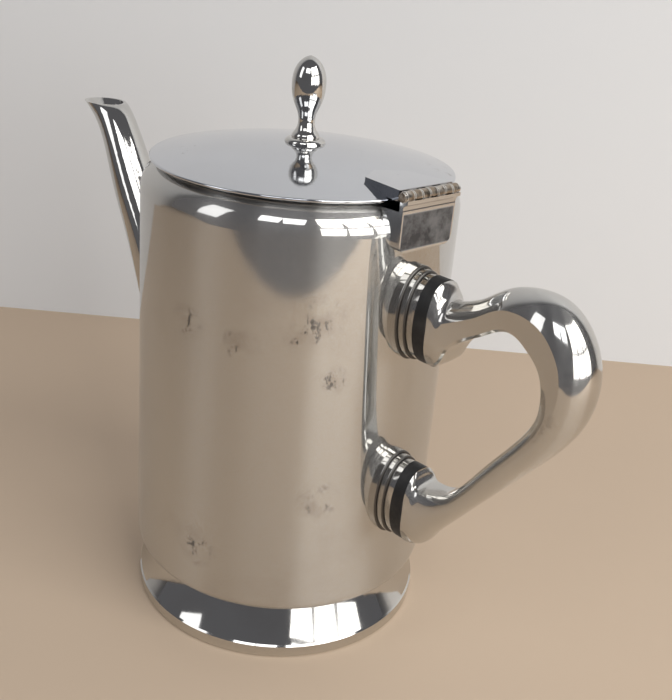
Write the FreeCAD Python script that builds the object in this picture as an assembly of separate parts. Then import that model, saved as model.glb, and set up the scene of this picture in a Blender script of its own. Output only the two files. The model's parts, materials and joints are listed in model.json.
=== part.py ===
import FreeCAD, Part
import math
import os

from FreeCAD import Vector

# Hotel-style metal coffee pot. Millimetres, +Z up.
# Origin: centre of the foot's resting plane. The handle points to +X, the spout to -X.

# Driving sizes of the pot
BODY_RADIUS = 49.6          # outside, just above the bottom corner
WALL_TAPER = 0.6            # the wall leans in by this much up to the shoulder
FOOT_HEIGHT = 17.5          # resting plane to the underside of the body
BODY_HEIGHT = 122.8         # underside of the body to the start of the shoulder
SHOULDER_RADIUS = 8.5
BOTTOM_CORNER_RADIUS = 4.5
SHEET = 1.2                 # gauge of the body, foot and lid sheet

TOP_RADIUS = BODY_RADIUS - WALL_TAPER

# Clearances
LID_REST_GAP = 0.25         # lid bezel flange above the mouth ring
BEZEL_CLEARANCE = 0.8       # lid bezel inside the mouth ring
KNUCKLE_SWING_GAP = 0.35    # round a turning knuckle
KNUCKLE_END_GAP = 0.3       # between two knuckles, along the pin
PIN_CLEARANCE = 0.03        # hinge pin in the knuckles, on the radius
SPIGOT_CLEARANCE = 0.05     # insulator spigots and cross pins, on the radius

# Foot
FOOT_LIP_RADIUS = BODY_RADIUS - 0.5
FOOT_LIP_HEIGHT = 4.6
FOOT_LIP_WIDTH = 4.0
FOOT_WAIST_RADIUS = BODY_RADIUS - 7.9
FOOT_COVE_DEPTH = 0.5       # sag of the hollow skirt below a straight cone

# Mouth and lid
MOUTH_RADIUS = TOP_RADIUS - 6.0
MOUTH_RING_DEPTH = 5.0
LID_RADIUS = TOP_RADIUS - 2.6
LID_SHEET = 1.0
LID_RISE = 5.6              # height of the dome above the lid's edge
BEZEL_DEPTH = 5.0           # part of the bezel that reaches into the mouth

# Finial, a turned knob
FINIAL_HEIGHT = 23.9
KNOB_RADIUS = 5.1
NECK_RADIUS = 2.5
FINIAL_FLANGE_RADIUS = 6.2
FINIAL_FLANGE_HEIGHT = 1.3
STUD_RADIUS = 1.5
STUD_DEPTH_IN_KNOB = 9.0
NUT_ACROSS_FLATS = 5.5
NUT_HEIGHT = 2.4

# Hinge, seven knuckles on one pin
HINGE_LENGTH = 21.8
KNUCKLE_COUNT = 7
KNUCKLE_RADIUS = 1.6
HINGE_PIN_RADIUS = 0.8
PIN_HEAD_RADIUS = 1.25
PIN_HEAD_HEIGHT = 0.5
HINGE_REACH = TOP_RADIUS + 1.8      # pot axis to hinge axis
HINGE_ABOVE_LID_EDGE = 2.0
BRACKET_HEIGHT = 14.0
BRACKET_STANDOFF = 2.2      # face of the bracket outside the body's top radius
BRACKET_CORNER = 3.0
LEAF_LENGTH = 21.5
LEAF_POINT = 5.0            # length of the pointed end of the lid leaf
LEAF_END_HALF_WIDTH = 8.6
LEAF_RISE = 1.5             # top of the leaf above the hinge axis

# Handle and its two sockets
SOCKET_CENTRE_HEIGHT = 87.5
SOCKET_SPACING = 59.4
SOCKET_HALF_HEIGHT = 12.8
SOCKET_HALF_WIDTH = 7.6
SOCKET_BASE_LENGTH = 1.9
SOCKET_STEP_LENGTH = 2.4
SOCKET_COLLAR_LENGTH = 2.6
SOCKET_STEP = 0.7           # each ring is this much larger than the next one
INSULATOR_THICKNESS = 4.2
SPIGOT_LENGTH = 5.0
SPIGOT_SHARE = 0.55         # spigot size as a share of the collar
CROSS_PIN_RADIUS = 0.8
HANDLE_REACH = 43.4         # handle's end face to the outermost point of its centre line

# Spout
SPOUT_REACH = 113.0         # pot axis to the centre of the spout's lip
SPOUT_ROOT_LEVEL = 46.0     # where the spout's centre line meets the body
SPOUT_SHEET = 1.1
STRAINER_HOLE_RADIUS = 1.6
STRAINER_PITCH = 5.2

# Levels and places that follow from the driving sizes
SHOULDER_LEVEL = FOOT_HEIGHT + BODY_HEIGHT
SHOULDER_CENTRE = TOP_RADIUS - SHOULDER_RADIUS
MOUTH_DROP = MOUTH_RADIUS - SHOULDER_CENTRE
MOUTH_LEVEL = SHOULDER_LEVEL + math.sqrt(SHOULDER_RADIUS**2 - MOUTH_DROP**2)
LID_UNDERSIDE = MOUTH_LEVEL + 0.6
LID_EDGE = LID_UNDERSIDE + LID_SHEET
LID_CROWN_RADIUS = (LID_RADIUS**2 + LID_RISE**2) / (2 * LID_RISE)
LID_TOP = LID_EDGE + LID_RISE
HINGE_LEVEL = LID_EDGE + HINGE_ABOVE_LID_EDGE
KNUCKLE_LENGTH = HINGE_LENGTH / KNUCKLE_COUNT
BRACKET_FACE = TOP_RADIUS + BRACKET_STANDOFF
COLLAR_START = BODY_RADIUS + SOCKET_BASE_LENGTH + SOCKET_STEP_LENGTH
INSULATOR_START = COLLAR_START + SOCKET_COLLAR_LENGTH
HANDLE_START = INSULATOR_START + INSULATOR_THICKNESS
UPPER_SOCKET = SOCKET_CENTRE_HEIGHT + SOCKET_SPACING / 2
LOWER_SOCKET = SOCKET_CENTRE_HEIGHT - SOCKET_SPACING / 2

AXIS_UP = Vector(0, 0, 1)
ALONG_HINGE = Vector(0, 1, 0)
ALONG_HANDLE = Vector(1, 0, 0)


def line(start, end):
    """A straight edge between two (radius, height) points of the XZ plane."""
    return Part.makeLine(Vector(start[0], 0, start[1]), Vector(end[0], 0, end[1]))


def arc(start, middle, end):
    """A circular edge through three (radius, height) points of the XZ plane."""
    points = [Vector(p[0], 0, p[1]) for p in (start, middle, end)]
    return Part.Arc(*points).toShape()


def on_circle(centre, radius, degrees):
    """The (radius, height) point of a circle at an angle from the outward direction."""
    angle = math.radians(degrees)
    return (centre[0] + radius * math.cos(angle), centre[1] + radius * math.sin(angle))


def round_arc(centre, radius, start_degrees, end_degrees):
    """A circular edge about a centre, between two angles."""
    degrees = (start_degrees, (start_degrees + end_degrees) / 2, end_degrees)
    return arc(*[on_circle(centre, radius, d) for d in degrees])


def spun(edges):
    """A solid of revolution about the pot's axis, from a closed chain of edges."""
    wire = Part.Wire(Part.__sortEdges__(edges))
    return Part.Face(wire).revolve(Vector(0, 0, 0), AXIS_UP, 360)


def spun_polygon(points):
    """A solid of revolution from straight edges only."""
    closed = points + points[:1]
    return spun([line(a, b) for a, b in zip(closed, closed[1:])])


def rod(radius, length, centre, direction):
    """A round bar with its middle at a point."""
    direction = Vector(direction).normalize()
    return Part.makeCylinder(radius, length, centre - direction * (length / 2), direction)


def oval_bar(half_height, half_width, start, end, level):
    """A bar of oval section along +X, between two X values."""
    upright = Part.Ellipse(Vector(0, 0, 0), half_height, half_width)
    wire = Part.Wire([upright.toShape()])
    wire.rotate(Vector(0, 0, 0), ALONG_HINGE, 90)
    wire.translate(Vector(start, 0, level))
    return Part.Face(wire).extrude(Vector(end - start, 0, 0))


def save(name, shape):
    """Write one node of the assembly."""
    if shape.ShapeType == "Compound" and len(shape.Solids) == 1:
        shape = shape.Solids[0]
    print(name, "valid" if shape.isValid() else "NOT VALID", len(shape.Solids), round(shape.Volume, 1))
    shape.exportStep("parts/" + name + ".step")


# Body

def body_outside():
    """Solid bounded by the outside of the body, used to trim what is soldered to it."""
    corner = (BODY_RADIUS - BOTTOM_CORNER_RADIUS, FOOT_HEIGHT + BOTTOM_CORNER_RADIUS)
    shoulder = (SHOULDER_CENTRE, SHOULDER_LEVEL)
    mouth_angle = math.degrees(math.acos(MOUTH_DROP / SHOULDER_RADIUS))
    return spun([
        line((0, FOOT_HEIGHT), (corner[0], FOOT_HEIGHT)),
        round_arc(corner, BOTTOM_CORNER_RADIUS, -90, 0),
        line((BODY_RADIUS, corner[1]), (TOP_RADIUS, SHOULDER_LEVEL)),
        round_arc(shoulder, SHOULDER_RADIUS, 0, mouth_angle),
        line((MOUTH_RADIUS, MOUTH_LEVEL), (0, MOUTH_LEVEL)),
        line((0, MOUTH_LEVEL), (0, FOOT_HEIGHT)),
    ])


def body_inside():
    """The hollow of the body, above the base disc and up through the mouth."""
    corner = (BODY_RADIUS - BOTTOM_CORNER_RADIUS, FOOT_HEIGHT + BOTTOM_CORNER_RADIUS)
    corner_radius = BOTTOM_CORNER_RADIUS - SHEET
    shoulder = (SHOULDER_CENTRE, SHOULDER_LEVEL)
    inner_radius = SHOULDER_RADIUS - SHEET
    mouth_angle = math.degrees(math.acos(MOUTH_DROP / inner_radius))
    under_mouth = on_circle(shoulder, inner_radius, mouth_angle)
    floor = FOOT_HEIGHT + SHEET
    return spun([
        line((0, floor), (corner[0], floor)),
        round_arc(corner, corner_radius, -90, 0),
        line((corner[0] + corner_radius, corner[1]), (TOP_RADIUS - SHEET, SHOULDER_LEVEL)),
        round_arc(shoulder, inner_radius, 0, mouth_angle),
        line(under_mouth, (MOUTH_RADIUS, MOUTH_LEVEL + SHEET)),
        line((MOUTH_RADIUS, MOUTH_LEVEL + SHEET), (0, MOUTH_LEVEL + SHEET)),
        line((0, MOUTH_LEVEL + SHEET), (0, floor)),
    ])


def strainer_holes():
    """Round holes through the wall behind the spout, in rows that fill an oval."""
    half_width, half_height = 7.5, 13.0
    centre_level = SPOUT_ROOT_LEVEL + 4.0
    rows = int(half_height / STRAINER_PITCH)
    holes = []
    for row in range(-rows, rows + 1):
        rise = row * STRAINER_PITCH
        reach = half_width * math.sqrt(max(0.0, 1 - (rise / (half_height + STRAINER_PITCH))**2))
        shift = STRAINER_PITCH / 2 if row % 2 else 0.0
        for column in range(-2, 3):
            across = column * STRAINER_PITCH + shift
            if abs(across) <= reach:
                centre = Vector(-BODY_RADIUS, across, centre_level + rise)
                holes.append(rod(STRAINER_HOLE_RADIUS, 8 * SHEET, centre, ALONG_HANDLE))
    return holes


def body_shell():
    """Drawn sheet wall with a rounded shoulder and a turned-in flange at the bottom."""
    flange_radius = FOOT_WAIST_RADIUS - 3 * SHEET
    base_hole = Part.makeCylinder(flange_radius, 4 * SHEET, Vector(0, 0, FOOT_HEIGHT - SHEET))
    return body_outside().cut(body_inside()).cut([base_hole] + strainer_holes())


def base_disc():
    """Flat bottom sheet that lies on the flange inside the body."""
    radius = BODY_RADIUS - BOTTOM_CORNER_RADIUS - 0.3
    return Part.makeCylinder(radius, SHEET, Vector(0, 0, FOOT_HEIGHT + SHEET))


def foot_skirt():
    """Spun hollow-curved skirt under the body."""
    top = (FOOT_WAIST_RADIUS, FOOT_HEIGHT)
    bottom = (FOOT_LIP_RADIUS - 0.5, FOOT_LIP_HEIGHT)
    middle = ((top[0] + bottom[0]) / 2 - FOOT_COVE_DEPTH, (top[1] + bottom[1]) / 2 - FOOT_COVE_DEPTH / 2)
    inner = [(r - SHEET, z) for r, z in (top, middle, bottom)]
    return spun([
        arc(top, middle, bottom),
        line(bottom, inner[2]),
        arc(inner[2], inner[1], inner[0]),
        line(inner[0], top),
    ])


def foot_rim():
    """Solid ring that the pot stands on."""
    inner = FOOT_LIP_RADIUS - FOOT_LIP_WIDTH
    bevel = 0.5
    return spun_polygon([
        (inner, 0),
        (FOOT_LIP_RADIUS - bevel, 0),
        (FOOT_LIP_RADIUS, bevel),
        (FOOT_LIP_RADIUS, FOOT_LIP_HEIGHT - bevel),
        (FOOT_LIP_RADIUS - bevel, FOOT_LIP_HEIGHT),
        (inner, FOOT_LIP_HEIGHT),
    ])


def mouth_ring():
    """Upright stiffening band soldered inside the mouth."""
    bottom = MOUTH_LEVEL - MOUTH_RING_DEPTH
    inner = MOUTH_RADIUS - SHEET
    return spun_polygon([
        (inner, bottom),
        (MOUTH_RADIUS, bottom),
        (MOUTH_RADIUS, MOUTH_LEVEL),
        (inner, MOUTH_LEVEL),
    ])


# Spout

def spout_stations():
    """Centre (x, z), slope in degrees, half depth and half width of each spout section."""
    wall = -BODY_RADIUS
    run = SPOUT_REACH - BODY_RADIUS
    root = SPOUT_ROOT_LEVEL
    rise = MOUTH_LEVEL - root
    return [
        (wall + 0.27 * run, root - 0.10 * rise, 138, 14.0, 12.4),
        (wall - 0.13 * run, root + 0.15 * rise, 128, 12.8, 11.6),
        (wall - 0.35 * run, root + 0.39 * rise, 121, 10.6, 10.2),
        (wall - 0.57 * run, root + 0.63 * rise, 120, 8.9, 8.9),
        (wall - 0.77 * run, root + 0.835 * rise, 122, 7.4, 7.6),
        (wall - 0.90 * run, root + 0.955 * rise, 118, 6.7, 7.0),
        (wall - run, root + rise, 90, 8.3, 7.4),
    ]


def spout_skin(inset, overrun):
    """Solid through the spout's sections, smaller by an inset; the ends run on by an overrun."""
    wires = []
    for x, z, slope, half_depth, half_width in spout_stations():
        circle = Part.Circle(Vector(0, 0, 0), AXIS_UP, half_width - inset).toShape()
        stretch = FreeCAD.Matrix()
        stretch.scale((half_depth - inset) / (half_width - inset), 1.0, 1.0)
        wire = Part.Wire([circle.transformGeometry(stretch)])
        wire.rotate(Vector(0, 0, 0), ALONG_HINGE, slope_to_tilt(slope))
        wire.translate(Vector(x, 0, z))
        wires.append(wire)
    wires[-1].translate(Vector(0, 0, overrun))
    return Part.makeLoft(wires, True, False)


def slope_to_tilt(slope):
    """Turn about +Y that points a section's normal along a slope of the XZ plane."""
    return 90.0 - slope


def spout():
    """Tapering tube soldered over the strainer, with a flat flared lip."""
    outside = spout_skin(0.0, 0.0)
    inside = spout_skin(SPOUT_SHEET, 0.05)
    return outside.cut(inside).cut(body_outside())


# Hinge

def knuckle_bounds(index):
    """Start and end of a knuckle along the hinge, with half an end gap at each side."""
    start = -HINGE_LENGTH / 2 + index * KNUCKLE_LENGTH
    return start + KNUCKLE_END_GAP / 2, start + KNUCKLE_LENGTH - KNUCKLE_END_GAP / 2


def hinge_rod(radius, start, end):
    """A bar on the hinge axis between two Y values."""
    return Part.makeCylinder(radius, end - start, Vector(HINGE_REACH, start, HINGE_LEVEL), ALONG_HINGE)


def knuckles(indices):
    """Tubes on the hinge axis, one solid for each index."""
    bore = hinge_rod(HINGE_PIN_RADIUS + PIN_CLEARANCE, -HINGE_LENGTH, HINGE_LENGTH)
    tubes = [hinge_rod(KNUCKLE_RADIUS, *knuckle_bounds(i)).cut(bore) for i in indices]
    return Part.makeCompound(tubes)


def knuckle_seats(own, other):
    """Cutters for a leaf: exact seats for its own knuckles, swing room round the other ones."""
    cutters = []
    for index in own:
        start, end = knuckle_bounds(index)
        cutters.append(hinge_rod(KNUCKLE_RADIUS, start - KNUCKLE_END_GAP, end + KNUCKLE_END_GAP))
    for index in other:
        start, end = knuckle_bounds(index)
        radius = KNUCKLE_RADIUS + KNUCKLE_SWING_GAP
        cutters.append(hinge_rod(radius, start - KNUCKLE_END_GAP, end + KNUCKLE_END_GAP))
    return cutters


FIXED_KNUCKLES = range(0, KNUCKLE_COUNT, 2)
LID_KNUCKLES = range(1, KNUCKLE_COUNT, 2)


def hinge_bracket():
    """Block on the back of the body with a flange at the top that carries the fixed knuckles."""
    bottom = HINGE_LEVEL - KNUCKLE_RADIUS - BRACKET_HEIGHT
    flange_level = HINGE_LEVEL - 0.7
    flange_edge = BRACKET_FACE + 1.4
    hollow = 2.2
    step_level = MOUTH_LEVEL - 0.6
    outline = [
        line((SHOULDER_CENTRE, bottom), (BRACKET_FACE, bottom)),
        line((BRACKET_FACE, bottom), (BRACKET_FACE, flange_level - 1.0 - hollow)),
        arc((BRACKET_FACE, flange_level - 1.0 - hollow),
            (BRACKET_FACE + 0.35, flange_level - 1.6),
            (flange_edge, flange_level - 1.0)),
        line((flange_edge, flange_level - 1.0), (flange_edge, flange_level)),
        line((flange_edge, flange_level), (HINGE_REACH - 0.9, flange_level)),
        line((HINGE_REACH - 0.9, flange_level), (HINGE_REACH - 0.9, step_level)),
        line((HINGE_REACH - 0.9, step_level), (SHOULDER_CENTRE, step_level)),
        line((SHOULDER_CENTRE, step_level), (SHOULDER_CENTRE, bottom)),
    ]
    face = Part.Face(Part.Wire(Part.__sortEdges__(outline)))
    face.translate(Vector(0, -HINGE_LENGTH / 2, 0))
    block = face.extrude(Vector(0, HINGE_LENGTH, 0))
    lower_edges = []
    for edge in block.Edges:
        middle = edge.CenterOfMass
        at_side = abs(abs(middle.y) - HINGE_LENGTH / 2) < 0.01
        along_x = abs(edge.tangentAt(edge.FirstParameter).x) > 0.99
        if at_side and along_x and abs(middle.z - bottom) < 0.01:
            lower_edges.append(edge)
    block = block.makeFillet(BRACKET_CORNER, lower_edges)
    return block.cut(body_outside()).cut(knuckle_seats(FIXED_KNUCKLES, LID_KNUCKLES))


def hinge_pin():
    """Wire pin through all knuckles, with a riveted head at each end."""
    half = HINGE_LENGTH / 2
    shank = hinge_rod(HINGE_PIN_RADIUS, -half, half)
    heads = [hinge_rod(PIN_HEAD_RADIUS, half, half + PIN_HEAD_HEIGHT),
             hinge_rod(PIN_HEAD_RADIUS, -half - PIN_HEAD_HEIGHT, -half)]
    return shank.fuse(heads).removeSplitter()


# Lid

def lid_surface(level, radius):
    """Height of the domed lid at a radius, for a dome whose edge lies at a level."""
    centre = level + LID_RISE - LID_CROWN_RADIUS
    return centre + math.sqrt(LID_CROWN_RADIUS**2 - radius**2)


def dome_arc(level, start, end):
    """Edge along the lid's dome between two radii."""
    radii = (start, (start + end) / 2, end)
    return arc(*[(r, lid_surface(level, r)) for r in radii])


def lid_disc():
    """Shallow domed disc with a rounded edge and a hole for the finial's stud."""
    hole = STUD_RADIUS + SPIGOT_CLEARANCE
    edge_radius = LID_RADIUS - LID_SHEET / 2
    under = lid_surface(LID_UNDERSIDE, edge_radius)
    top = lid_surface(LID_EDGE, edge_radius)
    return spun([
        line((hole, lid_surface(LID_UNDERSIDE, hole)), (hole, lid_surface(LID_EDGE, hole))),
        dome_arc(LID_EDGE, hole, edge_radius),
        arc((edge_radius, top), (LID_RADIUS, (top + under) / 2), (edge_radius, under)),
        dome_arc(LID_UNDERSIDE, edge_radius, hole),
    ])


def lid_bezel():
    """Ring under the lid that drops into the mouth and rests on its edge with a flange."""
    outer = MOUTH_RADIUS - SHEET - BEZEL_CLEARANCE
    inner = outer - SHEET
    flange = MOUTH_RADIUS + 0.4
    rest = MOUTH_LEVEL + LID_REST_GAP
    bottom = MOUTH_LEVEL - BEZEL_DEPTH
    return spun([
        line((inner, bottom), (outer, bottom)),
        line((outer, bottom), (outer, rest)),
        line((outer, rest), (flange, rest)),
        line((flange, rest), (flange, lid_surface(LID_UNDERSIDE, flange))),
        dome_arc(LID_UNDERSIDE, flange, inner),
        line((inner, lid_surface(LID_UNDERSIDE, inner)), (inner, bottom)),
    ])


def lid_leaf():
    """Flat plate on the lid with a pointed end; its back edge carries the lid's knuckles."""
    back = HINGE_REACH - 0.2
    side_end = HINGE_REACH - LEAF_LENGTH + LEAF_POINT
    half = HINGE_LENGTH / 2
    corners = [
        (back, -half), (back, half), (side_end, LEAF_END_HALF_WIDTH),
        (HINGE_REACH - LEAF_LENGTH, 0), (side_end, -LEAF_END_HALF_WIDTH),
    ]
    under = HINGE_LEVEL - KNUCKLE_RADIUS
    ring = [Vector(x, y, under) for x, y in corners + corners[:1]]
    plate = Part.Face(Part.makePolygon(ring)).extrude(Vector(0, 0, KNUCKLE_RADIUS + LEAF_RISE))
    dome = spun([
        line((0, LID_EDGE - LID_RISE), (0, LID_TOP)),
        dome_arc(LID_EDGE, 0, LID_RADIUS),
        line((LID_RADIUS, LID_EDGE), (LID_RADIUS, LID_EDGE - LID_RISE)),
        line((LID_RADIUS, LID_EDGE - LID_RISE), (0, LID_EDGE - LID_RISE)),
    ])
    return plate.cut(dome).cut(knuckle_seats(LID_KNUCKLES, FIXED_KNUCKLES))


def finial():
    """Turned knob: flared base, thin neck and pear-shaped head, drilled for the stud."""
    base = LID_TOP + FINIAL_FLANGE_HEIGHT
    top = base + FINIAL_HEIGHT
    foot = (0.82 * KNOB_RADIUS, base)
    levels = [(0.81 * KNOB_RADIUS, 0.04), (1.32 * NECK_RADIUS, 0.09), (NECK_RADIUS, 0.21),
              (1.2 * NECK_RADIUS, 0.32), (0.78 * KNOB_RADIUS, 0.41), (KNOB_RADIUS, 0.62),
              (0.92 * KNOB_RADIUS, 0.80), (0.66 * KNOB_RADIUS, 0.91)]
    profile = [foot] + [(radius, base + share * FINIAL_HEIGHT) for radius, share in levels] + [(0.0, top)]
    head = Part.BSplineCurve()
    head.interpolate([Vector(radius, 0, level) for radius, level in profile])
    body = spun([head.toShape(), line((0, top), (0, base)), line((0, base), foot)])
    bore = Part.makeCylinder(STUD_RADIUS + SPIGOT_CLEARANCE, STUD_DEPTH_IN_KNOB, Vector(0, 0, base))
    return body.cut(bore)


def finial_flange():
    """Round washer between the lid and the knob."""
    hole = STUD_RADIUS + SPIGOT_CLEARANCE
    top = LID_TOP + FINIAL_FLANGE_HEIGHT
    edge = FINIAL_FLANGE_RADIUS
    return spun([
        line((hole, top), (0.7 * edge, top)),
        arc((0.7 * edge, top), (0.93 * edge, top - 0.35), (edge, lid_surface(LID_EDGE, edge) + 0.3)),
        line((edge, lid_surface(LID_EDGE, edge) + 0.3), (edge, lid_surface(LID_EDGE, edge))),
        dome_arc(LID_EDGE, edge, hole),
        line((hole, lid_surface(LID_EDGE, hole)), (hole, top)),
    ])


def finial_stud():
    """Threaded stud from the nut under the lid into the knob."""
    bottom = LID_TOP - LID_SHEET - NUT_HEIGHT - 0.8
    top = LID_TOP + FINIAL_FLANGE_HEIGHT + STUD_DEPTH_IN_KNOB - 0.5
    return Part.makeCylinder(STUD_RADIUS, top - bottom, Vector(0, 0, bottom))


def finial_nut():
    """Hexagon nut against the underside of the lid."""
    top = lid_surface(LID_UNDERSIDE, NUT_ACROSS_FLATS / 2)
    corner = NUT_ACROSS_FLATS / math.sqrt(3)
    ring = [Vector(corner * math.cos(math.radians(60 * i)), corner * math.sin(math.radians(60 * i)),
                   top - NUT_HEIGHT) for i in range(7)]
    block = Part.Face(Part.makePolygon(ring)).extrude(Vector(0, 0, NUT_HEIGHT))
    hole = Part.makeCylinder(STUD_RADIUS + SPIGOT_CLEARANCE, 3 * NUT_HEIGHT, Vector(0, 0, top - 2 * NUT_HEIGHT))
    return block.cut(hole).cut(lid_disc())


# Handle

def socket_base(level):
    """Two stepped oval rings soldered to the body."""
    ring_end = BODY_RADIUS + SOCKET_BASE_LENGTH
    wide = oval_bar(SOCKET_HALF_HEIGHT + 2 * SOCKET_STEP, SOCKET_HALF_WIDTH + 2 * SOCKET_STEP,
                    SHOULDER_CENTRE, ring_end, level)
    narrow = oval_bar(SOCKET_HALF_HEIGHT + SOCKET_STEP, SOCKET_HALF_WIDTH + SOCKET_STEP,
                      SHOULDER_CENTRE, COLLAR_START, level)
    return rounded_end(wide, ring_end).fuse(rounded_end(narrow, COLLAR_START)).cut(body_outside())


def rounded_end(bar, end):
    """Round the outer rim of an oval bar."""
    rim = [e for e in bar.Edges if abs(e.CenterOfMass.x - end) < 0.01 and e.isClosed()]
    return bar.makeFillet(0.8 * SOCKET_STEP, rim)


def socket_collar(level):
    """Oval cup that holds the insulator's inner spigot."""
    cup = oval_bar(SOCKET_HALF_HEIGHT, SOCKET_HALF_WIDTH, COLLAR_START, INSULATOR_START, level)
    return cup


def socket_hollow(level):
    """Room for the insulator's inner spigot in the collar and the base rings."""
    share = SPIGOT_SHARE
    return oval_bar(share * SOCKET_HALF_HEIGHT + SPIGOT_CLEARANCE, share * SOCKET_HALF_WIDTH + SPIGOT_CLEARANCE,
                    INSULATOR_START - SPIGOT_LENGTH - SPIGOT_CLEARANCE, INSULATOR_START, level)


def handle_hollow(level):
    """Room for the insulator's outer spigot in the handle's end."""
    share = SPIGOT_SHARE
    return oval_bar(share * SOCKET_HALF_HEIGHT + SPIGOT_CLEARANCE, share * SOCKET_HALF_WIDTH + SPIGOT_CLEARANCE,
                    HANDLE_START, HANDLE_START + SPIGOT_LENGTH + SPIGOT_CLEARANCE, level)


def cross_pin(x, level, radius):
    """Bar across a socket, longer than the socket is wide."""
    return rod(radius, 4 * SOCKET_HALF_WIDTH, Vector(x, 0, level), ALONG_HINGE)


def pin_places():
    """X of the cross pin in the collar and of the one in the handle's end."""
    return (INSULATOR_START - SOCKET_COLLAR_LENGTH / 2, HANDLE_START + SOCKET_COLLAR_LENGTH / 2)


def pin_holes(level):
    """Drilled holes for both cross pins."""
    return [cross_pin(x, level, CROSS_PIN_RADIUS + SPIGOT_CLEARANCE) for x in pin_places()]


def insulator(level):
    """Black disc with a spigot on each side."""
    disc = oval_bar(SOCKET_HALF_HEIGHT + 0.2, SOCKET_HALF_WIDTH + 0.2, INSULATOR_START, HANDLE_START, level)
    spigot = oval_bar(SPIGOT_SHARE * SOCKET_HALF_HEIGHT, SPIGOT_SHARE * SOCKET_HALF_WIDTH,
                      INSULATOR_START - SPIGOT_LENGTH, HANDLE_START + SPIGOT_LENGTH, level)
    return disc.fuse(spigot).cut(pin_holes(level))


def cross_pins(level, handle_solid):
    """Both cross pins of one insulator, flush with the collar and the handle's end."""
    inner, outer = pin_places()
    collar = oval_bar(SOCKET_HALF_HEIGHT, SOCKET_HALF_WIDTH, COLLAR_START, INSULATOR_START, level)
    return Part.makeCompound([
        cross_pin(inner, level, CROSS_PIN_RADIUS).common(collar),
        cross_pin(outer, level, CROSS_PIN_RADIUS).common(handle_solid),
    ])


def handle_stations():
    """Centre (x, z), heading in degrees, half thickness and half width of each handle section."""
    x = HANDLE_START
    top = UPPER_SOCKET
    reach = HANDLE_REACH
    drop = SOCKET_SPACING
    half_height = SOCKET_HALF_HEIGHT - 0.2
    half_width = SOCKET_HALF_WIDTH - 0.2
    return [
        (x, top, 0, half_height, half_width),
        (x + 0.13 * reach, top + 0.045 * drop, 20, 6.0, 6.4),
        (x + 0.32 * reach, top + 0.118 * drop, 30, 4.7, 6.0),
        (x + 0.55 * reach, top + 0.216 * drop, 12, 5.4, 6.8),
        (x + 0.80 * reach, top + 0.200 * drop, -24, 7.2, 7.8),
        (x + 0.97 * reach, top + 0.071 * drop, -62, 6.4, 8.3),
        (x + 1.00 * reach, top - 0.112 * drop, -97, 5.6, 8.0),
        (x + 0.91 * reach, top - 0.302 * drop, -119, 4.5, 7.2),
        (x + 0.65 * reach, top - 0.565 * drop, -129, 3.9, 6.4),
        (x + 0.36 * reach, top - 0.842 * drop, -132, 3.6, 6.2),
        (x + 0.15 * reach, top - 0.962 * drop, -152, 7.0, 6.8),
        (x, top - drop, -180, half_height, half_width),
    ]


def handle_blank():
    """Cast handle before its ends are bored: soft-cornered sections along a loop."""
    corners = 24
    squareness = 0.8
    wires = []
    for x, z, heading, half_thickness, half_width in handle_stations():
        turn = math.radians(heading)
        ring = []
        for i in range(corners):
            angle = 2 * math.pi * i / corners
            across = math.copysign(abs(math.cos(angle))**squareness, math.cos(angle)) * half_width
            outward = math.copysign(abs(math.sin(angle))**squareness, math.sin(angle)) * half_thickness
            ring.append(Vector(x - outward * math.sin(turn), across, z + outward * math.cos(turn)))
        curve = Part.BSplineCurve()
        curve.interpolate(Points=ring, PeriodicFlag=True)
        wires.append(Part.Wire([curve.toShape()]))
    return Part.makeLoft(wires, True, False)


def build():
    """Make every piece and write it to its own file."""
    os.makedirs("parts", exist_ok=True)
    save("body_shell", body_shell())
    save("base_disc", base_disc())
    save("foot_skirt", foot_skirt())
    save("foot_rim", foot_rim())
    save("mouth_ring", mouth_ring())
    save("spout", spout())
    save("hinge_bracket", hinge_bracket())
    save("fixed_knuckles", knuckles(FIXED_KNUCKLES))
    save("hinge_pin", hinge_pin())
    save("lid_disc", lid_disc())
    save("lid_bezel", lid_bezel())
    save("lid_leaf", lid_leaf())
    save("lid_knuckles", knuckles(LID_KNUCKLES))
    save("finial", finial())
    save("finial_flange", finial_flange())
    save("finial_stud", finial_stud())
    save("finial_nut", finial_nut())
    blank = handle_blank()
    handle = blank
    for name, level in (("upper", UPPER_SOCKET), ("lower", LOWER_SOCKET)):
        hollow = socket_hollow(level)
        holes = pin_holes(level)
        save(name + "_socket_base", socket_base(level).cut(hollow))
        save(name + "_socket_collar", socket_collar(level).cut([hollow] + holes))
        save(name + "_insulator", insulator(level))
        save(name + "_cross_pins", cross_pins(level, blank))
        handle = handle.cut([handle_hollow(level)] + holes)
    save("handle", handle)


build()
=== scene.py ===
import json
import math

import bmesh
import bpy
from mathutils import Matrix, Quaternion, Vector


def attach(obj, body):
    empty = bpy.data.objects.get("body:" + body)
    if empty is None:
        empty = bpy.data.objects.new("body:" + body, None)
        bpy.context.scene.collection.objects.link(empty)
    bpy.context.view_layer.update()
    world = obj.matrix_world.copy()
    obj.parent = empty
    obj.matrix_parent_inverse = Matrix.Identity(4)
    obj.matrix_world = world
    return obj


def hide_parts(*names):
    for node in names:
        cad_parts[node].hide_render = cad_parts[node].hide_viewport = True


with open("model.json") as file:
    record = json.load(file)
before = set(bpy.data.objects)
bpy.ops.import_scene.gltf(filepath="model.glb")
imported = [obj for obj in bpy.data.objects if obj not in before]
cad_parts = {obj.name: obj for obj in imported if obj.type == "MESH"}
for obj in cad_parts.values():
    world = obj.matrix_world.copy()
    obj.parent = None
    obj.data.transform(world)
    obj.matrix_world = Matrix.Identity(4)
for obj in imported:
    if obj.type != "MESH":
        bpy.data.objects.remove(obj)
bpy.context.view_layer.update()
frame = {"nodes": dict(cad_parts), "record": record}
nodes = frame["nodes"]

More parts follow.
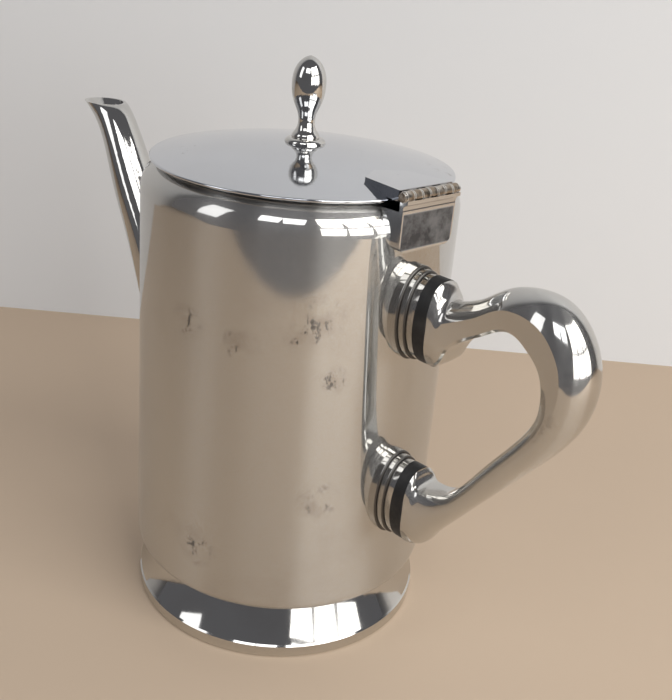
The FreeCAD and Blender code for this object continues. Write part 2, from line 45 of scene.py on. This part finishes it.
# The camera stands where the photograph was taken from, in metres in the part's own frame.
CAMERA_PLACE = Vector((0.2099, -0.1957, 0.2136))
CAMERA_LOOK = Vector((-0.6365, 0.6584, -0.4016))
CAMERA_ROLL = math.radians(5.09)
FOCAL_PIXELS = 944.2
PHOTO_LONG_SIDE = 700
SENSOR_MM = 36.0

# The stage: a plain pale floor with a straight near edge, and a plain pale backdrop
# at right angles to the camera's heading.
FLOOR_COLOUR = (0.61, 0.48, 0.36)
BACKDROP_COLOUR = (0.74, 0.75, 0.76)
BACKDROP_DISTANCE = 0.22
FLOOR_EDGE_DISTANCE = 0.385
FLOOR_EDGE_BEARING = math.radians(-45.0)
STAGE_SIZE = 6.0

# Lights: tints, degrees between two panels of a row, the height they aim at, and the rows:
# name, how many, bearing of the first in degrees from +X, then height, distance, width and
# length in metres, watts and tint.
WARM_LIGHT = (1.0, 0.99, 0.97)
COOL_LIGHT = (0.97, 0.98, 1.0)
PANEL_STEP = 19.0
PANEL_AIM_HEIGHT = 0.08
PANEL_ROWS = [
    ("window", 3, -20.0, 0.28, 1.0, 0.30, 0.40, 1.3, WARM_LIGHT),
    ("upper_window", 3, -20.0, 0.86, 0.95, 0.30, 0.62, 2.5, WARM_LIGHT),
    ("back_window", 2, -66.0, 0.95, 1.0, 0.30, 0.42, 1.2, COOL_LIGHT),
    ("left_window", 1, -108.0, 0.75, 1.2, 0.40, 0.8, 1.8, COOL_LIGHT),
]
SURROUND_COLOUR = (0.13, 0.13, 0.14)

# Colours of the polished plate: where it is clean, stained, smudged and specked.
PLATE_COLOUR = (0.62, 0.61, 0.585)
STAIN_COLOUR = (0.42, 0.38, 0.34)
SMUDGE_COLOUR = (0.30, 0.26, 0.22)
SPECK_COLOUR = (0.08, 0.065, 0.055)

# Wiping marks: their roughness and fineness, and the noise value above which they lie.
WIPED_ROUGHNESS = 0.40
WIPED_SCALE = 30000.0
WIPED_EDGE = 0.03
BODY_WIPED_ABOVE = 0.56
HANDLE_WIPED_ABOVE = 0.62

# Colours of the other finishes.
SOCKET_SMEAR_COLOUR = (0.45, 0.41, 0.36)
# Painted shade that darkens the grooves of the handle sockets.
GROOVE_SHADE_COLOUR = (0.035, 0.03, 0.027)
BRACKET_RIM_COLOUR = (0.70, 0.72, 0.745)
# A painted dark reflection on the bracket's face.
BRACKET_DARK_REFLECTION_COLOUR = (0.045, 0.047, 0.052)
LID_COLOUR = (0.68, 0.70, 0.735)
LID_CLOUD_COLOUR = (0.59, 0.60, 0.625)
# Colour of the real dark pits, also used for the painted shade beside the hinge barrel.
LID_PIT_AND_SHADE_COLOUR = (0.10, 0.09, 0.08)
HINGE_PLATE_COLOUR = (0.52, 0.48, 0.43)
HINGE_BASE_COLOUR = (0.34, 0.27, 0.20)
HINGE_DIRT_COLOUR = (0.05, 0.04, 0.03)
HINGE_BRIGHT_COLOUR = (0.90, 0.87, 0.82)
INSULATOR_COLOUR = (0.010, 0.010, 0.011)
INSULATOR_WORN_COLOUR = (0.030, 0.029, 0.028)
BRASS_COLOUR = (0.72, 0.53, 0.26)
BRASS_MARK_COLOUR = (0.55, 0.40, 0.20)

# The handle, in metres: ends, reach and drop of its loop, and the size of its end faces.
HANDLE_START = 0.0607
HANDLE_TOP = 0.1172
HANDLE_REACH = 0.0434
HANDLE_DROP = 0.0594
HANDLE_END_HALF_HEIGHT = 0.0126
HANDLE_END_HALF_WIDTH = 0.0074
HANDLE_STEPS_PER_SPAN = 14
HANDLE_BEVEL = 0.0008

# The handle's section: shares of its width at the inner face and of its height at the arris,
# sweep of its rounded back, the angle past which an edge is left sharp, and how full a
# rounded section is.
HANDLE_INNER_SHARE = 0.90
HANDLE_ARRIS_SHARE = 0.12
HANDLE_BACK_SWEEP = math.radians(66)
HANDLE_SHARP_ANGLE = math.radians(24)
HANDLE_SOFT_POWER = 0.8

# Points of half a section: along its back, its side and its inner face.
HANDLE_SECTION_POINTS = (12, 6, 4)

# Places on the body where the plate is spotted: centre, and how far the spots spread, in metres.
SPOT_PLACES = [
    ((0.0410, -0.0274, 0.1176), 0.0075),
    ((0.0381, -0.0313, 0.1115), 0.0060),
    ((0.0433, -0.0235, 0.0987), 0.0055),
    ((0.0249, -0.0425, 0.1079), 0.0060),
    ((0.0080, -0.0486, 0.1102), 0.0065),
    ((0.0427, -0.0247, 0.0597), 0.0075),
    ((0.0133, -0.0475, 0.0367), 0.0080),
    ((-0.0380, 0.0315, 0.0900), 0.0080),
    ((0.0100, 0.0485, 0.0700), 0.0085),
    ((-0.0300, -0.0393, 0.0600), 0.0065),
]

# Hinge, in metres: length of a knuckle, and where the painted shade beside the barrel starts and is full.
KNUCKLE_COUNT = 7
KNUCKLE_LENGTH = 0.0218 / KNUCKLE_COUNT
LEAF_SHADE_START = 0.0488
LEAF_SHADE_FULL = LEAF_SHADE_START + 0.0004

# The bracket's face, darkened by a painted dark reflection, in metres: height of its middle, and where the
# darkening ends and is full.
DARK_FACE_LEVEL = 0.1422
DARK_FACE_HALF_WIDTH = (0.0106, 0.0102)
DARK_FACE_HALF_HEIGHT = (0.0053, 0.0048)

# X of the two grooves between the rings of a handle socket, and where the painted shade in them ends and
# is full.
SOCKET_GROOVES = (0.0515, 0.0539)
GROOVE_HALF_WIDTH = (0.00070, 0.00025)


# Node helpers

def new_material(name):
    """A material with a Principled shader, and its node tree."""
    material = bpy.data.materials.new(name)
    material.use_nodes = True
    return material, material.node_tree, material.node_tree.nodes["Principled BSDF"]


def object_coordinates(tree, stretch=(1.0, 1.0, 1.0)):
    """The part's own coordinates in metres, stretched along each axis."""
    source = tree.nodes.new("ShaderNodeTexCoord")
    mapping = tree.nodes.new("ShaderNodeMapping")
    mapping.inputs["Scale"].default_value = stretch
    tree.links.new(source.outputs["Object"], mapping.inputs["Vector"])
    return mapping.outputs["Vector"]


def noise(tree, vector, scale, detail=4.0, roughness=0.55):
    """A noise value between 0 and 1."""
    texture = tree.nodes.new("ShaderNodeTexNoise")
    texture.inputs["Scale"].default_value = scale
    texture.inputs["Detail"].default_value = detail
    texture.inputs["Roughness"].default_value = roughness
    tree.links.new(vector, texture.inputs["Vector"])
    return texture.outputs["Fac"]


def remap(tree, value, low, high, to_low, to_high):
    """A value moved from one range to another, and clamped there."""
    node = tree.nodes.new("ShaderNodeMapRange")
    node.inputs["From Min"].default_value = low
    node.inputs["From Max"].default_value = high
    node.inputs["To Min"].default_value = to_low
    node.inputs["To Max"].default_value = to_high
    tree.links.new(value, node.inputs["Value"])
    return node.outputs["Result"]


def multiply(tree, first, second):
    """The product of two values."""
    node = tree.nodes.new("ShaderNodeMath")
    node.operation = "MULTIPLY"
    tree.links.new(first, node.inputs[0])
    tree.links.new(second, node.inputs[1])
    return node.outputs["Value"]


def add(tree, first, second):
    """The sum of two values, kept between 0 and 1."""
    node = tree.nodes.new("ShaderNodeMath")
    node.operation = "ADD"
    node.use_clamp = True
    tree.links.new(first, node.inputs[0])
    tree.links.new(second, node.inputs[1])
    return node.outputs["Value"]


def mix_colour(tree, amount, first, second):
    """A blend of two colours; each is a socket or a plain colour."""
    node = tree.nodes.new("ShaderNodeMix")
    node.data_type = "RGBA"
    tree.links.new(amount, node.inputs["Factor"])
    for name, colour in (("A", first), ("B", second)):
        socket = [s for s in node.inputs if s.name == name and s.type == "RGBA"][0]
        if isinstance(colour, tuple):
            socket.default_value = (*colour, 1.0)
        else:
            tree.links.new(colour, socket)
    return [s for s in node.outputs if s.type == "RGBA"][0]


def bump(tree, height, distance, strength, under=None):
    """A shading normal from a height in metres, on top of another normal if there is one."""
    node = tree.nodes.new("ShaderNodeBump")
    node.inputs["Distance"].default_value = distance
    node.inputs["Strength"].default_value = strength
    tree.links.new(height, node.inputs["Height"])
    if under is not None:
        tree.links.new(under, node.inputs["Normal"])
    return node.outputs["Normal"]


def distance_from(tree, value, amount):
    """How far a value is from a constant."""
    node = tree.nodes.new("ShaderNodeMath")
    node.operation = "SUBTRACT"
    node.inputs[1].default_value = amount
    tree.links.new(value, node.inputs[0])
    size = tree.nodes.new("ShaderNodeMath")
    size.operation = "ABSOLUTE"
    tree.links.new(node.outputs["Value"], size.inputs[0])
    return size.outputs["Value"]


def axis_value(tree, axis):
    """One of the part's own coordinates, in metres."""
    split = tree.nodes.new("ShaderNodeSeparateXYZ")
    tree.links.new(object_coordinates(tree), split.inputs["Vector"])
    return split.outputs[axis]


def near_places(tree, places):
    """1 at the middle of each place, falling to 0 at its spread."""
    vector = object_coordinates(tree)
    total = None
    for centre, spread in places:
        node = tree.nodes.new("ShaderNodeVectorMath")
        node.operation = "DISTANCE"
        node.inputs[1].default_value = centre
        tree.links.new(vector, node.inputs[0])
        patch = remap(tree, node.outputs["Value"], spread, 0.2 * spread, 0.0, 1.0)
        total = patch if total is None else add(tree, total, patch)
    return total


def speck_mask(tree, where, scale, threshold):
    """Small ragged spots; where is a value that says how many there are."""
    vector = object_coordinates(tree, (1.0, 1.0, 0.7))
    ragged = noise(tree, vector, scale, 5.0, 0.66)
    fine = noise(tree, vector, scale * 3.1, 3.0, 0.6)
    mottle = remap(tree, add(tree, multiply(tree, ragged, fine), multiply(tree, ragged, ragged)),
                   threshold, threshold + 0.16, 0.0, 0.75)
    return multiply(tree, where, mottle)


# Materials

def polished_silver(name, wiped_above=None):
    """Mirror-polished plate with smears, faint waves and patches of dark specks.

    A wiped surface also has very fine marks, which draw the lights out. They lie where a
    noise is above the given value.
    """
    material, tree, shader = new_material(name)
    smears = noise(tree, object_coordinates(tree, (1.0, 1.0, 0.45)), 28.0, 5.0)
    hairlines = noise(tree, object_coordinates(tree, (90.0, 90.0, 900.0)), 6.0, 2.0)
    waves = noise(tree, object_coordinates(tree, (1.0, 1.0, 0.06)), 90.0, 2.0)
    scattered = remap(tree, noise(tree, object_coordinates(tree), 55.0, 3.0), 0.66, 0.76, 0.0, 0.4)
    spotted = near_places(tree, SPOT_PLACES)
    specks = speck_mask(tree, add(tree, spotted, scattered), 300.0, 0.56)
    cloudy = remap(tree, noise(tree, object_coordinates(tree), 120.0), 0.40, 0.62, 0.0, 0.42)
    smudges = multiply(tree, spotted, cloudy)
    stains = remap(tree, noise(tree, object_coordinates(tree), 20.0, 6.0, 0.62), 0.54, 0.74, 0.0, 0.34)
    plate = mix_colour(tree, stains, PLATE_COLOUR, STAIN_COLOUR)
    smudged = mix_colour(tree, smudges, plate, SMUDGE_COLOUR)
    tree.links.new(mix_colour(tree, specks, smudged, SPECK_COLOUR), shader.inputs["Base Color"])
    shader.inputs["Metallic"].default_value = 1.0
    polish = remap(tree, smears, 0.35, 0.75, 0.03, 0.11)
    if wiped_above is not None:
        marks = noise(tree, object_coordinates(tree), WIPED_SCALE, 0.0)
        full = wiped_above + WIPED_EDGE
        polish = add(tree, polish, remap(tree, marks, wiped_above, full, 0.0, WIPED_ROUGHNESS))
        shader.inputs["Anisotropic"].default_value = 0.95
        shader.inputs["Anisotropic Rotation"].default_value = 0.25
    tree.links.new(add(tree, polish, remap(tree, specks, 0.0, 1.0, 0.0, 0.35)), shader.inputs["Roughness"])
    fine = bump(tree, hairlines, 0.00002, 0.06)
    tree.links.new(bump(tree, waves, 0.0003, 0.10, fine), shader.inputs["Normal"])
    return material


def socket_silver():
    """Plate of the handle sockets, with painted shade in the grooves between the rings."""
    material, tree, shader = new_material("socket_silver")
    along = axis_value(tree, "X")
    groove_shade = None
    for place in SOCKET_GROOVES:
        # Painted shade in each groove, which also makes the groove rougher.
        line = remap(tree, distance_from(tree, along, place), *GROOVE_HALF_WIDTH, 0.0, 0.85)
        groove_shade = line if groove_shade is None else add(tree, groove_shade, line)
    smears = noise(tree, object_coordinates(tree), 60.0, 5.0)
    smeared = remap(tree, smears, 0.5, 0.75, 0.0, 0.35)
    plate = mix_colour(tree, smeared, PLATE_COLOUR, SOCKET_SMEAR_COLOUR)
    tree.links.new(mix_colour(tree, groove_shade, plate, GROOVE_SHADE_COLOUR), shader.inputs["Base Color"])
    shader.inputs["Metallic"].default_value = 1.0
    polish = remap(tree, smears, 0.35, 0.75, 0.04, 0.13)
    tree.links.new(add(tree, polish, remap(tree, groove_shade, 0.0, 1.0, 0.0, 0.4)), shader.inputs["Roughness"])
    return material


def bracket_with_painted_reflection():
    """Plate of the hinge bracket: a mottled painted dark reflection on its face, and plain bright plate at
    the rim.
    """
    material, tree, shader = new_material("bracket_with_painted_reflection")
    inside = remap(tree, distance_from(tree, axis_value(tree, "Y"), 0.0), *DARK_FACE_HALF_WIDTH, 0.0, 1.0)
    from_middle = distance_from(tree, axis_value(tree, "Z"), DARK_FACE_LEVEL)
    face = remap(tree, from_middle, *DARK_FACE_HALF_HEIGHT, 0.0, 1.0)
    mottle = noise(tree, object_coordinates(tree), 190.0, 6.0, 0.65)
    # The face is darkened by a painted dark reflection, which is also made less metallic and rougher.
    dark = multiply(tree, multiply(tree, inside, face), remap(tree, mottle, 0.34, 0.62, 0.80, 1.0))
    plate = mix_colour(tree, dark, BRACKET_RIM_COLOUR, BRACKET_DARK_REFLECTION_COLOUR)
    tree.links.new(plate, shader.inputs["Base Color"])
    tree.links.new(remap(tree, dark, 0.0, 1.0, 1.0, 0.25), shader.inputs["Metallic"])
    tree.links.new(remap(tree, dark, 0.0, 1.0, 0.07, 0.24), shader.inputs["Roughness"])
    tree.links.new(bump(tree, mottle, 0.00004, 0.25), shader.inputs["Normal"])
    return material


def satin_lid_plate():
    """Plate worn by wiping: fine scratches, a few dark pits, and painted shade where it meets the hinge
    barrel.
    """
    material, tree, shader = new_material("satin_lid_plate")
    across = noise(tree, object_coordinates(tree, (40.0, 700.0, 40.0)), 3.0, 3.0)
    along = noise(tree, object_coordinates(tree, (520.0, 60.0, 60.0)), 3.0, 3.0)
    scratches = add(tree, remap(tree, across, 0.5, 0.8, 0.0, 0.7), remap(tree, along, 0.55, 0.8, 0.0, 0.5))
    scattered = remap(tree, noise(tree, object_coordinates(tree), 70.0, 3.0), 0.60, 0.70, 0.0, 1.0)
    # Painted shade on the plate where it meets the hinge barrel; specks below holds the real pits and this
    # painted shade.
    shade_beside_barrel = remap(tree, axis_value(tree, "X"), LEAF_SHADE_START, LEAF_SHADE_FULL, 0.0, 0.95)
    specks = add(tree, speck_mask(tree, scattered, 420.0, 0.62), shade_beside_barrel)
    clouds = remap(tree, noise(tree, object_coordinates(tree), 22.0, 5.0), 0.4, 0.7, 0.0, 0.5)
    plate = mix_colour(tree, clouds, LID_COLOUR, LID_CLOUD_COLOUR)
    tree.links.new(mix_colour(tree, specks, plate, LID_PIT_AND_SHADE_COLOUR), shader.inputs["Base Color"])
    shader.inputs["Metallic"].default_value = 1.0
    tree.links.new(remap(tree, scratches, 0.0, 1.0, 0.06, 0.17), shader.inputs["Roughness"])
    tree.links.new(bump(tree, scratches, 0.00002, 0.20), shader.inputs["Normal"])
    return material


def worn_hinge_metal():
    """Plate rubbed through to a warm base metal, dirty, and worn bright at the ends of the knuckles."""
    material, tree, shader = new_material("worn_hinge_metal")
    vector = object_coordinates(tree)
    wear = remap(tree, noise(tree, vector, 260.0, 5.0), 0.40, 0.62, 0.0, 1.0)
    dirt = remap(tree, noise(tree, vector, 620.0, 4.0), 0.50, 0.68, 0.0, 0.85)
    from_end = tree.nodes.new("ShaderNodeMath")
    from_end.operation = "PINGPONG"
    from_end.inputs[1].default_value = KNUCKLE_LENGTH / 2
    shifted = tree.nodes.new("ShaderNodeMath")
    shifted.operation = "ADD"
    shifted.inputs[1].default_value = KNUCKLE_COUNT / 2 * KNUCKLE_LENGTH
    tree.links.new(axis_value(tree, "Y"), shifted.inputs[0])
    tree.links.new(shifted.outputs["Value"], from_end.inputs[0])
    bright = remap(tree, from_end.outputs["Value"], 0.00050, 0.00030, 0.0, 1.0)
    metal = mix_colour(tree, wear, HINGE_PLATE_COLOUR, HINGE_BASE_COLOUR)
    dirty = mix_colour(tree, dirt, metal, HINGE_DIRT_COLOUR)
    tree.links.new(mix_colour(tree, bright, dirty, HINGE_BRIGHT_COLOUR), shader.inputs["Base Color"])
    shader.inputs["Metallic"].default_value = 1.0
    tree.links.new(remap(tree, wear, 0.0, 1.0, 0.20, 0.40), shader.inputs["Roughness"])
    tree.links.new(bump(tree, dirt, 0.00005, 0.4), shader.inputs["Normal"])
    return material


def black_insulator():
    """Dull black fibre with a fine grain."""
    material, tree, shader = new_material("black_insulator")
    vector = object_coordinates(tree)
    grain = noise(tree, vector, 900.0, 4.0)
    wear = remap(tree, noise(tree, vector, 140.0, 4.0), 0.5, 0.75, 0.0, 1.0)
    fibre = mix_colour(tree, wear, INSULATOR_COLOUR, INSULATOR_WORN_COLOUR)
    tree.links.new(fibre, shader.inputs["Base Color"])
    tree.links.new(remap(tree, grain, 0.3, 0.7, 0.38, 0.58), shader.inputs["Roughness"])
    tree.links.new(bump(tree, grain, 0.00004, 0.35), shader.inputs["Normal"])
    return material


def plain_brass():
    """Turned brass with tool marks."""
    material, tree, shader = new_material("plain_brass")
    marks = noise(tree, object_coordinates(tree, (60.0, 60.0, 1400.0)), 2.0, 3.0)
    brass = mix_colour(tree, marks, BRASS_COLOUR, BRASS_MARK_COLOUR)
    tree.links.new(brass, shader.inputs["Base Color"])
    shader.inputs["Metallic"].default_value = 1.0
    tree.links.new(remap(tree, marks, 0.3, 0.7, 0.22, 0.40), shader.inputs["Roughness"])
    tree.links.new(bump(tree, marks, 0.00003, 0.3), shader.inputs["Normal"])
    return material


def dress_nodes():
    """Give every node the material of its slot in the record."""
    finishes = {
        "polished_silver_plate": polished_silver("polished_silver"),
        "worn_silver_plate": satin_lid_plate(),
        "worn_hinge_metal": worn_hinge_metal(),
        "black_insulator": black_insulator(),
        "plain_brass": plain_brass(),
    }
    for subpart in frame["record"]["subparts"]:
        mesh = nodes[subpart["node"]].data
        mesh.materials.clear()
        mesh.materials.append(finishes[subpart["material_slot"]])
    nodes["body_shell"].data.materials[0] = polished_silver("wiped_silver", BODY_WIPED_ABOVE)
    nodes["lid_leaf"].data.materials[0] = finishes["worn_silver_plate"]
    nodes["hinge_bracket"].data.materials[0] = bracket_with_painted_reflection()
    socket_plate = socket_silver()
    for place in ("upper", "lower"):
        nodes[place + "_socket_base"].data.materials[0] = socket_plate
        nodes[place + "_socket_collar"].data.materials[0] = socket_plate


# The handle: a loop with flat sides, a rounded back and an arris between them

def handle_stations():
    """Centre x and z, heading in degrees, half thickness, half width and crispness of each section."""
    x, z = HANDLE_START, HANDLE_TOP
    reach, drop = HANDLE_REACH, HANDLE_DROP
    return [
        (x, z, 0, HANDLE_END_HALF_HEIGHT, HANDLE_END_HALF_WIDTH, 0.0),
        (x + 0.055 * reach, z + 0.014 * drop, 8, 0.0110, 0.0072, 0.6),
        (x + 0.13 * reach, z + 0.045 * drop, 20, 0.0060, 0.0064, 1.0),
        (x + 0.32 * reach, z + 0.118 * drop, 30, 0.0047, 0.0060, 1.0),
        (x + 0.55 * reach, z + 0.216 * drop, 12, 0.0054, 0.0068, 1.0),
        (x + 0.80 * reach, z + 0.200 * drop, -24, 0.0072, 0.0078, 1.0),
        (x + 0.97 * reach, z + 0.071 * drop, -62, 0.0064, 0.0083, 1.0),
        (x + 1.00 * reach, z - 0.112 * drop, -97, 0.0056, 0.0080, 0.7),
        (x + 0.91 * reach, z - 0.302 * drop, -119, 0.0045, 0.0072, 0.4),
        (x + 0.65 * reach, z - 0.565 * drop, -129, 0.0039, 0.0064, 0.4),
        (x + 0.36 * reach, z - 0.842 * drop, -132, 0.0036, 0.0062, 0.5),
        (x + 0.15 * reach, z - 0.962 * drop, -152, 0.0070, 0.0068, 0.5),
        (x + 0.065 * reach, z - 0.993 * drop, -168, 0.0112, 0.0072, 0.15),
        (x, z - drop, -180, HANDLE_END_HALF_HEIGHT, HANDLE_END_HALF_WIDTH, 0.0),
    ]


def curve_through(rows, steps):
    """Rows of numbers on a smooth curve through the given rows."""
    padded = [rows[0]] + rows + [rows[-1]]
    result = []
    for before, start, end, after in zip(padded, padded[1:], padded[2:], padded[3:]):
        for step in range(steps):
            t = step / steps
            point = []
            for a, b, c, d in zip(before, start, end, after):
                slope = (c - a) / 2
                next_slope = (d - b) / 2
                rise = c - b
                cubic = slope + next_slope - 2 * rise
                square = 3 * rise - 2 * slope - next_slope
                point.append(b + t * (slope + t * (square + t * cubic)))
            result.append(point)
    result.append(list(rows[-1]))
    return result


def soft_half(half_thickness, half_width):
    """(outward, across) points of half a rounded section, from the back to the inner middle."""
    total = sum(HANDLE_SECTION_POINTS)
    points = []
    for i in range(total):
        angle = math.pi * i / (total - 1)
        outward = math.copysign(abs(math.cos(angle))**HANDLE_SOFT_POWER, math.cos(angle))
        points.append((outward * half_thickness, math.sin(angle)**HANDLE_SOFT_POWER * half_width))
    return points


def crisp_half(half_thickness, half_width):
    """The same number of points for a section with a rounded back, flat sides and an inner face."""
    back_points, side_points, inner_points = HANDLE_SECTION_POINTS
    arris = HANDLE_ARRIS_SHARE * half_thickness
    inner_width = HANDLE_INNER_SHARE * half_width
    sweep = HANDLE_BACK_SWEEP
    points = []
    for i in range(back_points):
        angle = sweep * i / (back_points - 1)
        lift = (math.cos(angle) - math.cos(sweep)) / (1 - math.cos(sweep))
        across = half_width * math.sin(angle) / math.sin(sweep)
        points.append((arris + (half_thickness - arris) * lift, across))
    for i in range(side_points):
        share = (i + 1) / side_points
        across = half_width + (inner_width - half_width) * share
        points.append((arris + (HANDLE_BEVEL - half_thickness - arris) * share, across))
    for i in range(inner_points):
        share = i / (inner_points - 1)
        points.append((-half_thickness, (inner_width - HANDLE_BEVEL) * (1 - share)))
    return points


def half_section(half_thickness, half_width, crispness):
    """Half a section of the handle, blended from rounded to crisp."""
    soft = soft_half(half_thickness, half_width)
    crisp = crisp_half(half_thickness, half_width)
    return [tuple(a + (b - a) * crispness for a, b in zip(p, q)) for p, q in zip(soft, crisp)]


def section_ring(x, z, degrees, half_thickness, half_width, crispness):
    """One closed section of the handle, as points of the frame."""
    half = half_section(half_thickness, half_width, max(0.0, min(1.0, crispness)))
    outline = half + [(outward, -across) for outward, across in half[-2:0:-1]]
    turn = math.radians(degrees)
    return [(x - o * math.sin(turn), a, z + o * math.cos(turn)) for o, a in outline]


def loft(name, rings):
    """A closed smooth mesh through rings of the same number of points."""
    count = len(rings[0])
    points = [p for ring in rings for p in ring]
    faces = []
    for r in range(len(rings) - 1):
        for i in range(count):
            j = (i + 1) % count
            faces.append((r * count + i, r * count + j, (r + 1) * count + j, (r + 1) * count + i))
    faces.append(tuple(range(count - 1, -1, -1)))
    last = (len(rings) - 1) * count
    faces.append(tuple(range(last, last + count)))
    mesh = bpy.data.meshes.new(name)
    mesh.from_pydata(points, [], faces)
    work = bmesh.new()
    work.from_mesh(mesh)
    bmesh.ops.recalc_face_normals(work, faces=work.faces)
    work.to_mesh(mesh)
    work.free()
    for face in mesh.polygons:
        face.use_smooth = True
    mesh.set_sharp_from_angle(angle=HANDLE_SHARP_ANGLE)
    piece = bpy.data.objects.new(name, mesh)
    bpy.context.collection.objects.link(piece)
    return piece


def build_handle(material):
    """The cast handle in full detail, in place of its node."""
    sections = curve_through(handle_stations(), HANDLE_STEPS_PER_SPAN)
    handle = loft("handle_cast", [section_ring(*section) for section in sections])
    handle.data.materials.append(material)
    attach(handle, "pot")
    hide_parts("handle")


# Stage, lights and camera

def stage_plane(name, corners, colour):
    """A flat plain surface of the stage, with its material's node tree and shader."""
    mesh = bpy.data.meshes.new(name)
    mesh.from_pydata(corners, [], [tuple(range(len(corners)))])
    plane = bpy.data.objects.new(name, mesh)
    bpy.context.collection.objects.link(plane)
    material, tree, shader = new_material(name + "_paint")
    shader.inputs["Base Color"].default_value = (*colour, 1.0)
    shader.inputs["Roughness"].default_value = 0.7
    shader.inputs["Specular IOR Level"].default_value = 0.2
    mesh.materials.append(material)
    return tree, shader


def open_from_behind(tree, shader):
    """Let the backdrop be seen only from the pot's side."""
    geometry = tree.nodes.new("ShaderNodeNewGeometry")
    clear = tree.nodes.new("ShaderNodeBsdfTransparent")
    mix = tree.nodes.new("ShaderNodeMixShader")
    tree.links.new(geometry.outputs["Backfacing"], mix.inputs["Fac"])
    tree.links.new(shader.outputs["BSDF"], mix.inputs[1])
    tree.links.new(clear.outputs["BSDF"], mix.inputs[2])
    tree.links.new(mix.outputs["Shader"], tree.nodes["Material Output"].inputs["Surface"])


def heading():
    """The camera's heading and its right-hand side, on the floor."""
    ahead = Vector((CAMERA_LOOK.x, CAMERA_LOOK.y, 0.0)).normalized()
    return ahead, ahead.cross(Vector((0, 0, 1)))


def build_stage():
    """The floor, and the backdrop that stands on it."""
    ahead, right = heading()
    half = STAGE_SIZE / 2
    out = Vector((math.cos(FLOOR_EDGE_BEARING), math.sin(FLOOR_EDGE_BEARING), 0.0))
    along = Vector((-out.y, out.x, 0.0))
    edge = out * FLOOR_EDGE_DISTANCE
    back = ahead * half
    floor = [edge - along * half, edge + along * half, back + right * half, back - right * half]
    stage_plane("floor", floor, FLOOR_COLOUR)
    foot = ahead * BACKDROP_DISTANCE
    top = foot + Vector((0, 0, half))
    backdrop = [foot - right * half, foot + right * half, top + right * half, top - right * half]
    open_from_behind(*stage_plane("backdrop", backdrop, BACKDROP_COLOUR))


def panel(name, bearing, height, distance, width, length, watts, tint):
    """A soft rectangular light that faces the pot."""
    lamp = bpy.data.lights.new(name, "AREA")
    lamp.shape = "RECTANGLE"
    lamp.size = width
    lamp.size_y = length
    lamp.energy = watts
    lamp.color = tint
    light = bpy.data.objects.new(name, lamp)
    angle = math.radians(bearing)
    light.location = (distance * math.cos(angle), distance * math.sin(angle), height)
    target = Vector((0.0, 0.0, PANEL_AIM_HEIGHT))
    light.rotation_euler = (target - light.location).to_track_quat("-Z", "Y").to_euler()
    bpy.context.collection.objects.link(light)


def build_lights():
    """Soft panels in two rows to the right of the camera and behind it, and an even, dim surround."""
    for name, count, first_bearing, *rest in PANEL_ROWS:
        for step in range(count):
            panel(f"{name}_{step}", first_bearing + PANEL_STEP * step, *rest)
    world = bpy.data.worlds.new("surround")
    world.use_nodes = True
    surround = world.node_tree.nodes["Background"]
    surround.inputs["Color"].default_value = (*SURROUND_COLOUR, 1.0)
    surround.inputs["Strength"].default_value = 1.0
    bpy.context.scene.world = world


def build_camera():
    """Camera at the photograph's place, with the photograph's tilt."""
    lens = bpy.data.cameras.new("camera")
    lens.sensor_width = SENSOR_MM
    lens.lens = FOCAL_PIXELS / PHOTO_LONG_SIDE * SENSOR_MM
    lens.clip_start = 0.01
    camera = bpy.data.objects.new("camera", lens)
    camera.location = CAMERA_PLACE
    level = CAMERA_LOOK.to_track_quat("-Z", "Y")
    camera.rotation_mode = "QUATERNION"
    camera.rotation_quaternion = level @ Quaternion((0, 0, 1), CAMERA_ROLL)
    bpy.context.collection.objects.link(camera)
    bpy.context.scene.camera = camera


dress_nodes()
build_handle(polished_silver("gripped_silver", HANDLE_WIPED_ABOVE))
build_stage()
build_lights()
build_camera()
bpy.context.scene.view_settings.view_transform = "Standard"
